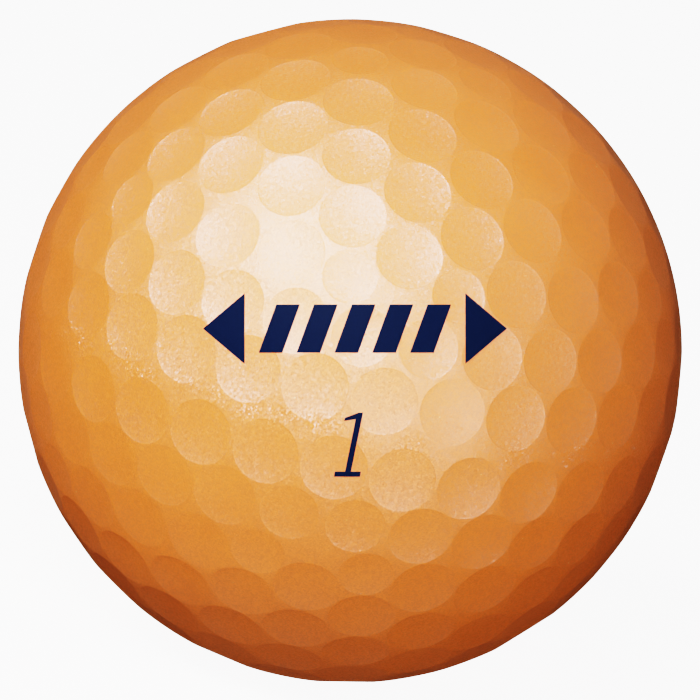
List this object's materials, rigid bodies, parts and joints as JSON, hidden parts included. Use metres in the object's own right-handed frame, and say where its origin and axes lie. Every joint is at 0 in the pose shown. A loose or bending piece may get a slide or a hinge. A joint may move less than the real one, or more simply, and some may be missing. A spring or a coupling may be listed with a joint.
{
  "type": "golf ball",
  "caption": "Frosted orange golf ball in layers: rubber core, ionomer mantle, dimpled cover halves meeting at a seam, and navy printed play number and alignment marks.",
  "frame": {"origin": "centre of the ball", "axes": "+Z through a pole of the dimple pattern, normal to the moulding seam in the XY plane; the printed face looks along -Y and +X is to its right"},
  "size_m": [0.0427, 0.0427, 0.0426],
  "materials": {
    "centre_rubber": "ground cross-linked rubber",
    "core_rubber": "moulded rubber, matt",
    "mantle_ionomer": "smooth moulded ionomer",
    "cover_pearl": "translucent cover under a frosted pearl coat",
    "print_ink": "pad-printed navy ink, satin"
  },
  "bodies": {
    "root": {"core_centre": "centre_rubber", "outer_core_upper": "core_rubber", "outer_core_lower": "core_rubber", "mantle_upper": "mantle_ionomer", "mantle_lower": "mantle_ionomer", "cover_upper": "cover_pearl", "cover_lower": "cover_pearl", "play_number_front": "print_ink", "play_number_rear": "print_ink", "alignment_mark_front": "print_ink", "alignment_mark_rear": "print_ink"}
  },
  "joints": []
}
